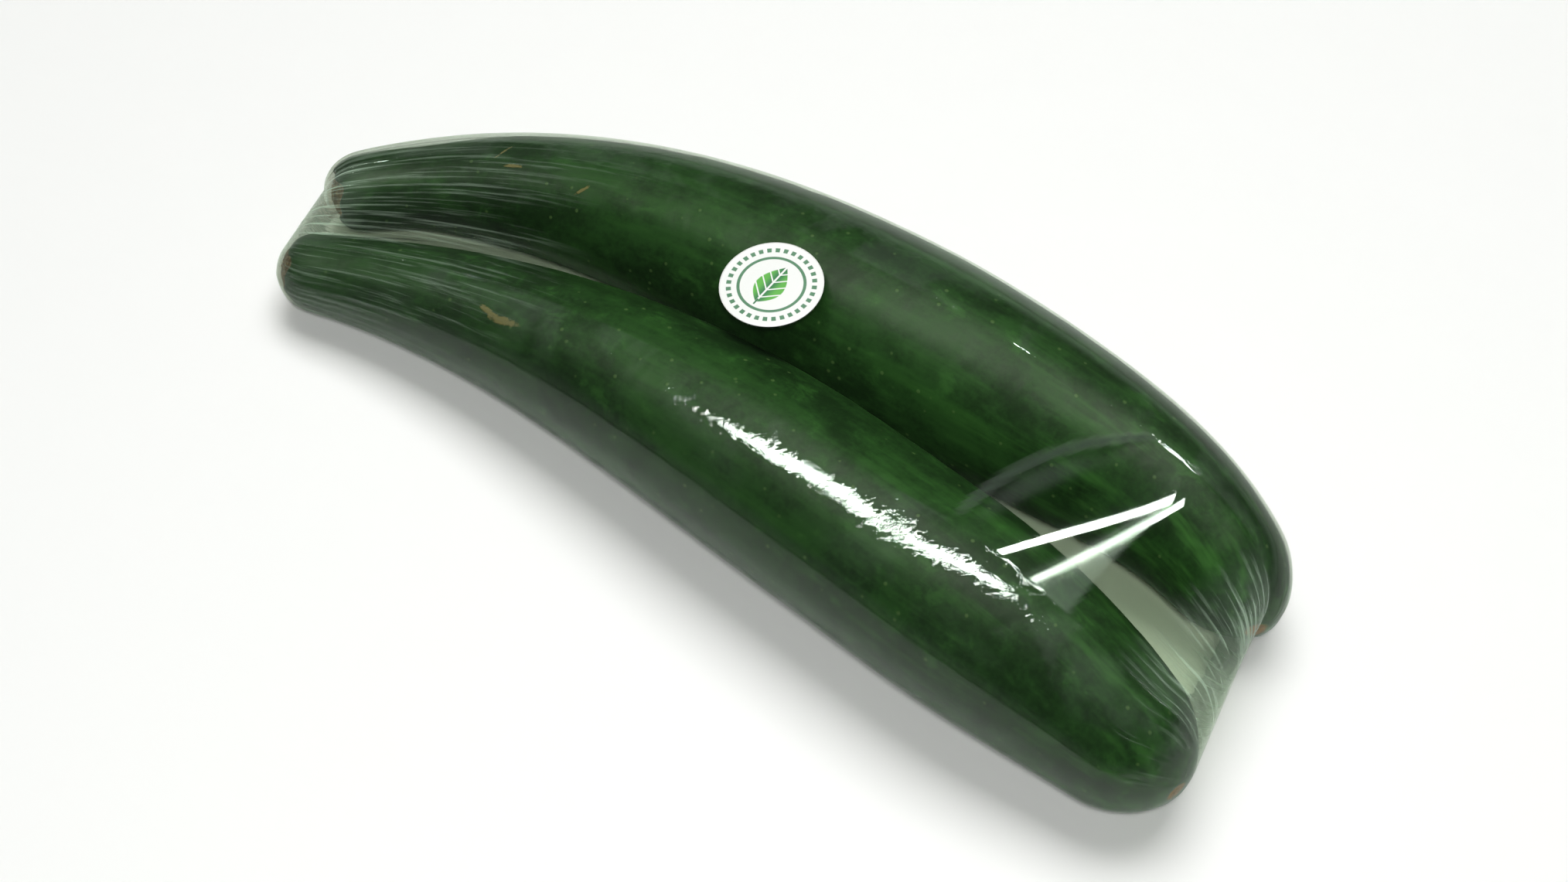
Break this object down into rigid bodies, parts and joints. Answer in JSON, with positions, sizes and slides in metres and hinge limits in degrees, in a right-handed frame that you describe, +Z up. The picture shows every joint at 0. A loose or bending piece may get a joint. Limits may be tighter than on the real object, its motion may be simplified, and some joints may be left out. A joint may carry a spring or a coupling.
{
  "type": "film-wrapped cucumber pair",
  "caption": "Long dark green cucumbers lying side by side, held together by one tight clear stretch film with a round printed label on top.",
  "frame": {"origin": "under the middle of the pack's box, on the plane of the flat under the film that it rests on", "axes": "+X along the pack from the stem ends to the blossom ends, +Y from the front cucumber to the back one, +Z up"},
  "size_m": [0.2754, 0.107, 0.0503],
  "materials": {
    "skin_front": "waxy dark green cucumber skin, semi-gloss under the film",
    "skin_back": "waxy dark green cucumber skin, semi-gloss under the film",
    "film": "clear glossy stretch film",
    "label": "coated white label paper"
  },
  "bodies": {
    "root": {"cucumber_front": "skin_front", "cucumber_back": "skin_back", "wrap_film": "film", "label_sticker": "label"}
  },
  "joints": []
}
